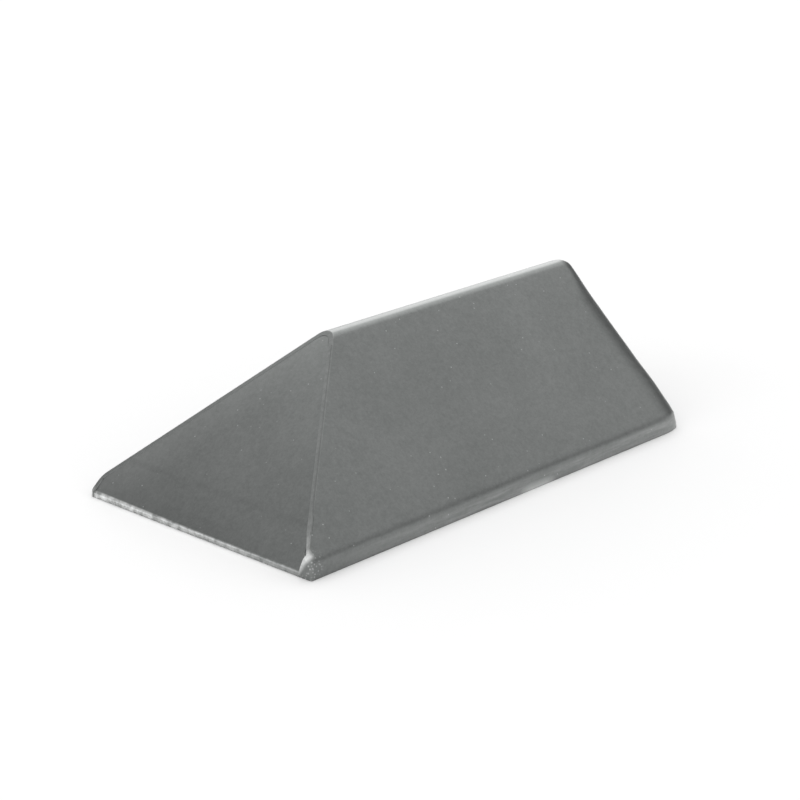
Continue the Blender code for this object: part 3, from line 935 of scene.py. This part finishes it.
def make_left_weld(material):
    """The fillet weld behind the raised left edge; it swells where it ends at the toe."""
    length = APEX_X + HALF_LENGTH - LEFT_WELD_START - LEFT_WELD_SHORT_OF_APEX
    rows = []
    for step in range(LEFT_WELD_STEPS + 1):
        share = (step / LEFT_WELD_STEPS) ** LEFT_WELD_CROWDING
        x = -HALF_LENGTH + LEFT_WELD_START + length * share
        z = TOE_Z + (x + HALF_LENGTH) * math.tan(NOSE_SLOPE)
        along = (x + HALF_LENGTH) / MM
        swell = math.exp(-(along / SWELL_LENGTH) ** 2)
        ripple = 1 + WELD_RIPPLE * noise.noise(Vector((along * 1.3, 4.0, 0)))
        leg = (WELD_LEG + LEG_SWELL * swell) * ripple * MM
        rise = (WELD_RISE + RISE_SWELL * swell) * ripple * MM
        head_z = z + min(rise, left_edge_z(x) - z - WELD_UNDER_EDGE * MM)
        root = Vector((x, -inner_y(z), z))
        foot = Vector((x, -inner_y(z) + leg, z))
        head = Vector((x, -inner_y(head_z), head_z))
        row = [root + WELD_ROOT]
        for k in range(LEFT_WELD_ARC + 1):
            share = k / LEFT_WELD_ARC
            row.append(foot.lerp(head, share).lerp(root, WELD_SAG * math.sin(math.pi * share)))
        rows.append(row)
    return dress(tube("left_hip_weld", rows), material, "satin_steel")


# centre line and radius of the bead that closes the left corner, in millimetres
CORNER_BEAD = [
    (-74.35, -38.70, 0.55, 0.50),
    (-74.30, -38.85, 1.40, 0.55),
    (-74.20, -39.25, 2.60, 0.62),
    (-74.10, -39.85, 3.90, 0.66),
    (-73.90, -40.40, 5.20, 0.66),
    (-73.70, -40.40, 6.00, 0.62),
    (-73.00, -40.00, 6.80, 0.42),
    (-72.00, -39.25, 7.60, 0.34),
    (-70.60, -38.10, 8.80, 0.28),
    (-69.00, -37.05, 10.10, 0.26),
    (-66.50, -35.00, 12.00, 0.22),
]
SEAM_BEAD_RADIUS = 0.20
SEAM_BEAD_STEPS = 26
SEAM_BEAD_START = -63.0
SEAM_BEAD_SHORT_OF_APEX = 3.0
SEAM_BEAD_WAVER = 0.25
BEAD_RESOLUTION = 4
BEAD_STEPS = 5


def seam_bead():
    """The corner bead's path, carried on up the left cut edge to the apex."""
    path = list(CORNER_BEAD)
    start_x, end_x = SEAM_BEAD_START, APEX_X / MM - SEAM_BEAD_SHORT_OF_APEX
    for step in range(SEAM_BEAD_STEPS + 1):
        x = start_x + (end_x - start_x) * step / SEAM_BEAD_STEPS
        z = left_edge_z(x * MM) / MM - SEAM_BEAD_RADIUS
        flank_z = RIDGE_CORNER_Z / MM - SEAM_BEAD_RADIUS / math.cos(FLANK_SLOPE)
        y = -(flank_z - z) / math.tan(FLANK_SLOPE)
        waver = noise.noise(Vector((x * 0.6, 1.0, 0.0)))
        path.append((x, y, z, SEAM_BEAD_RADIUS * (1 + SEAM_BEAD_WAVER * waver)))
    return path


def tapered_bead(name, path):
    """A closed tube whose radius follows the path; each path point is x, y, z, radius."""
    curve = bpy.data.curves.new(name, "CURVE")
    curve.dimensions = "3D"
    curve.bevel_depth = 1.0 * MM
    curve.bevel_resolution = BEAD_RESOLUTION
    curve.use_fill_caps = True
    curve.resolution_u = BEAD_STEPS
    line = curve.splines.new("NURBS")
    line.points.add(len(path) - 1)
    line.order_u = 3
    line.use_endpoint_u = True
    for point, (x, y, z, radius) in zip(line.points, path):
        point.co = (x * MM, y * MM, z * MM, 1.0)
        point.radius = radius
    return curve_to_mesh(link_object(name, curve))


def curve_to_mesh(item):
    """A mesh object of the same name and shape as a curve object."""
    bpy.context.view_layer.update()
    graph = bpy.context.evaluated_depsgraph_get()
    mesh = bpy.data.meshes.new_from_object(item.evaluated_get(graph))
    name = item.name
    bpy.data.objects.remove(item)
    mesh.name = name
    return link_object(name, mesh)


# ---------------------------------------------------------------- stage
FLOOR_TONE = 0.91
FLOOR_ROUGHNESS = 0.9
FLOOR_SIZE = 4.0


def make_floor():
    """A wide, plain, pale floor under the object."""
    n = Nodes("pale_floor")
    n.set(Base_Color=(FLOOR_TONE,) * 3, Roughness=FLOOR_ROUGHNESS)
    builder = bmesh.new()
    bmesh.ops.create_grid(builder, x_segments=1, y_segments=1, size=FLOOR_SIZE)
    floor = mesh_object("floor", builder)
    floor.location.z = CAD_LOW.z
    floor.data.materials.append(n.material)


# The strengths were solved so that the render has the photograph's tones.
# azimuth (0 is from the left side, 90 from the upright end) and elevation of each soft
# light in the studio, its spread from the middle, all in degrees, and its brightness
SOFT_LIGHTS = [
    (126, 17, 22, 1.05),
    (134, 42, 28, 0.49),
    (105, 45, 26, 0.83),
    (76, 32, 22, 0.07),
    (0, 90, 32, 0.43),
    (178, 66, 26, 0.10),
    (-140, 6, 24, 0.99),
    (170, 14, 28, 0.11),
    (-105, 12, 34, 0.60),
    (-70, 25, 38, 0.31),
    (-30, 12, 34, 0.20),
    (5, 12, 28, 0.24),
    (15, 38, 30, 0.06),
    (-35, 48, 36, 0.31),
    (-90, 55, 38, 0.09),
    (158, 38, 26, 0.15),
]
SOFT_LIGHT_CORE = 4
ROOM_BRIGHTNESS = 0.82
# azimuth, elevation, core and spread of each dark card, and what is left of the light there
DARK_CARDS = [
    (-150, 28, 8, 26, 0.56),
    (45, 4, 5, 28, 0.56),
    (97, 5, 8, 34, 0.23),
]


def toward(azimuth, elevation):
    """Unit vector from the object towards a place in the studio."""
    turn, rise = math.radians(azimuth), math.radians(elevation)
    return Vector((
        math.sin(turn) * math.cos(rise), -math.cos(turn) * math.cos(rise), math.sin(rise)))


def make_world():
    """A plain studio: soft lights and three dark cards in an even pale room."""
    world = bpy.data.worlds.new("studio")
    bpy.context.scene.world = world
    world.use_nodes = True
    tree = world.node_tree
    background = tree.nodes["Background"]
    background.inputs["Color"].default_value = (1.0, 1.0, 1.0, 1.0)
    direction = tree.nodes.new("ShaderNodeTexCoord").outputs["Generated"]

    def spot(azimuth, elevation, core, spread, outside, inside):
        """A round soft-edged patch of the world, from its inside to its outside value."""
        dot = tree.nodes.new("ShaderNodeVectorMath")
        dot.operation = "DOT_PRODUCT"
        dot.inputs[1].default_value = toward(azimuth, elevation)
        tree.links.new(direction, dot.inputs[0])
        ramp = tree.nodes.new("ShaderNodeMapRange")
        ramp.interpolation_type = "SMOOTHERSTEP"
        ramp.inputs["From Min"].default_value = math.cos(math.radians(spread))
        ramp.inputs["From Max"].default_value = math.cos(math.radians(core))
        ramp.inputs["To Min"].default_value = outside
        ramp.inputs["To Max"].default_value = inside
        tree.links.new(dot.outputs["Value"], ramp.inputs["Value"])
        return ramp.outputs["Result"]

    def combine(operation, first, second):
        node = tree.nodes.new("ShaderNodeMath")
        node.operation = operation
        tree.links.new(first, node.inputs[0])
        if isinstance(second, float):
            node.inputs[1].default_value = second
        else:
            tree.links.new(second, node.inputs[1])
        return node.outputs[0]

    total = None
    for azimuth, elevation, spread, brightness in SOFT_LIGHTS:
        light = spot(azimuth, elevation, SOFT_LIGHT_CORE, spread, 0.0, brightness)
        total = combine("ADD", light, ROOM_BRIGHTNESS if total is None else total)
    for azimuth, elevation, core, spread, left in DARK_CARDS:
        shade = spot(azimuth, elevation, core, spread, 0.0, 1.0)
        kept = combine("MULTIPLY", spot(azimuth, elevation, core, spread, 1.0, 0.0), total)
        total = combine("ADD", combine("MULTIPLY", shade, left), kept)
    tree.links.new(total, background.inputs["Strength"])


# ---------------------------------------------------------------- build
def build():
    """The finer cover, nose plate and welds, and the finish of every CAD node."""
    steel = satin_steel("satin_steel")
    # the hip, cover and nose plate steels carry painted highlights, light and shade in their colour
    hip_steel = satin_steel("hip_steel", hip_glint, hip_tone)
    make_cover(satin_steel("cover_steel", cover_wear_and_highlights, cover_light_and_shade))
    make_nose_plate(satin_steel("nose_steel", nose_highlights, nose_light_and_shade))
    make_right_weld(steel)
    make_left_weld(hip_steel)
    dress(tapered_bead("left_hip_bead", seam_bead()), hip_steel, "satin_steel")
    finishes = {
        "satin_steel": steel,
        "cast_iron": cast_iron("cast_iron_skin"),
        "zinc_plated": zinc_plate("zinc_plate"),
        "felt": felt("grey_felt"),
        "rubber": rubber("black_rubber"),
    }
    slots = {part["node"]: part["material_slot"] for part in frame["record"]["subparts"]}
    for name, node in frame["nodes"].items():
        node.data.materials.clear()
        node.data.materials.append(finishes[slots[name]])


bpy.context.scene.view_settings.view_transform = "Standard"
make_camera()
make_world()
make_floor()
build()
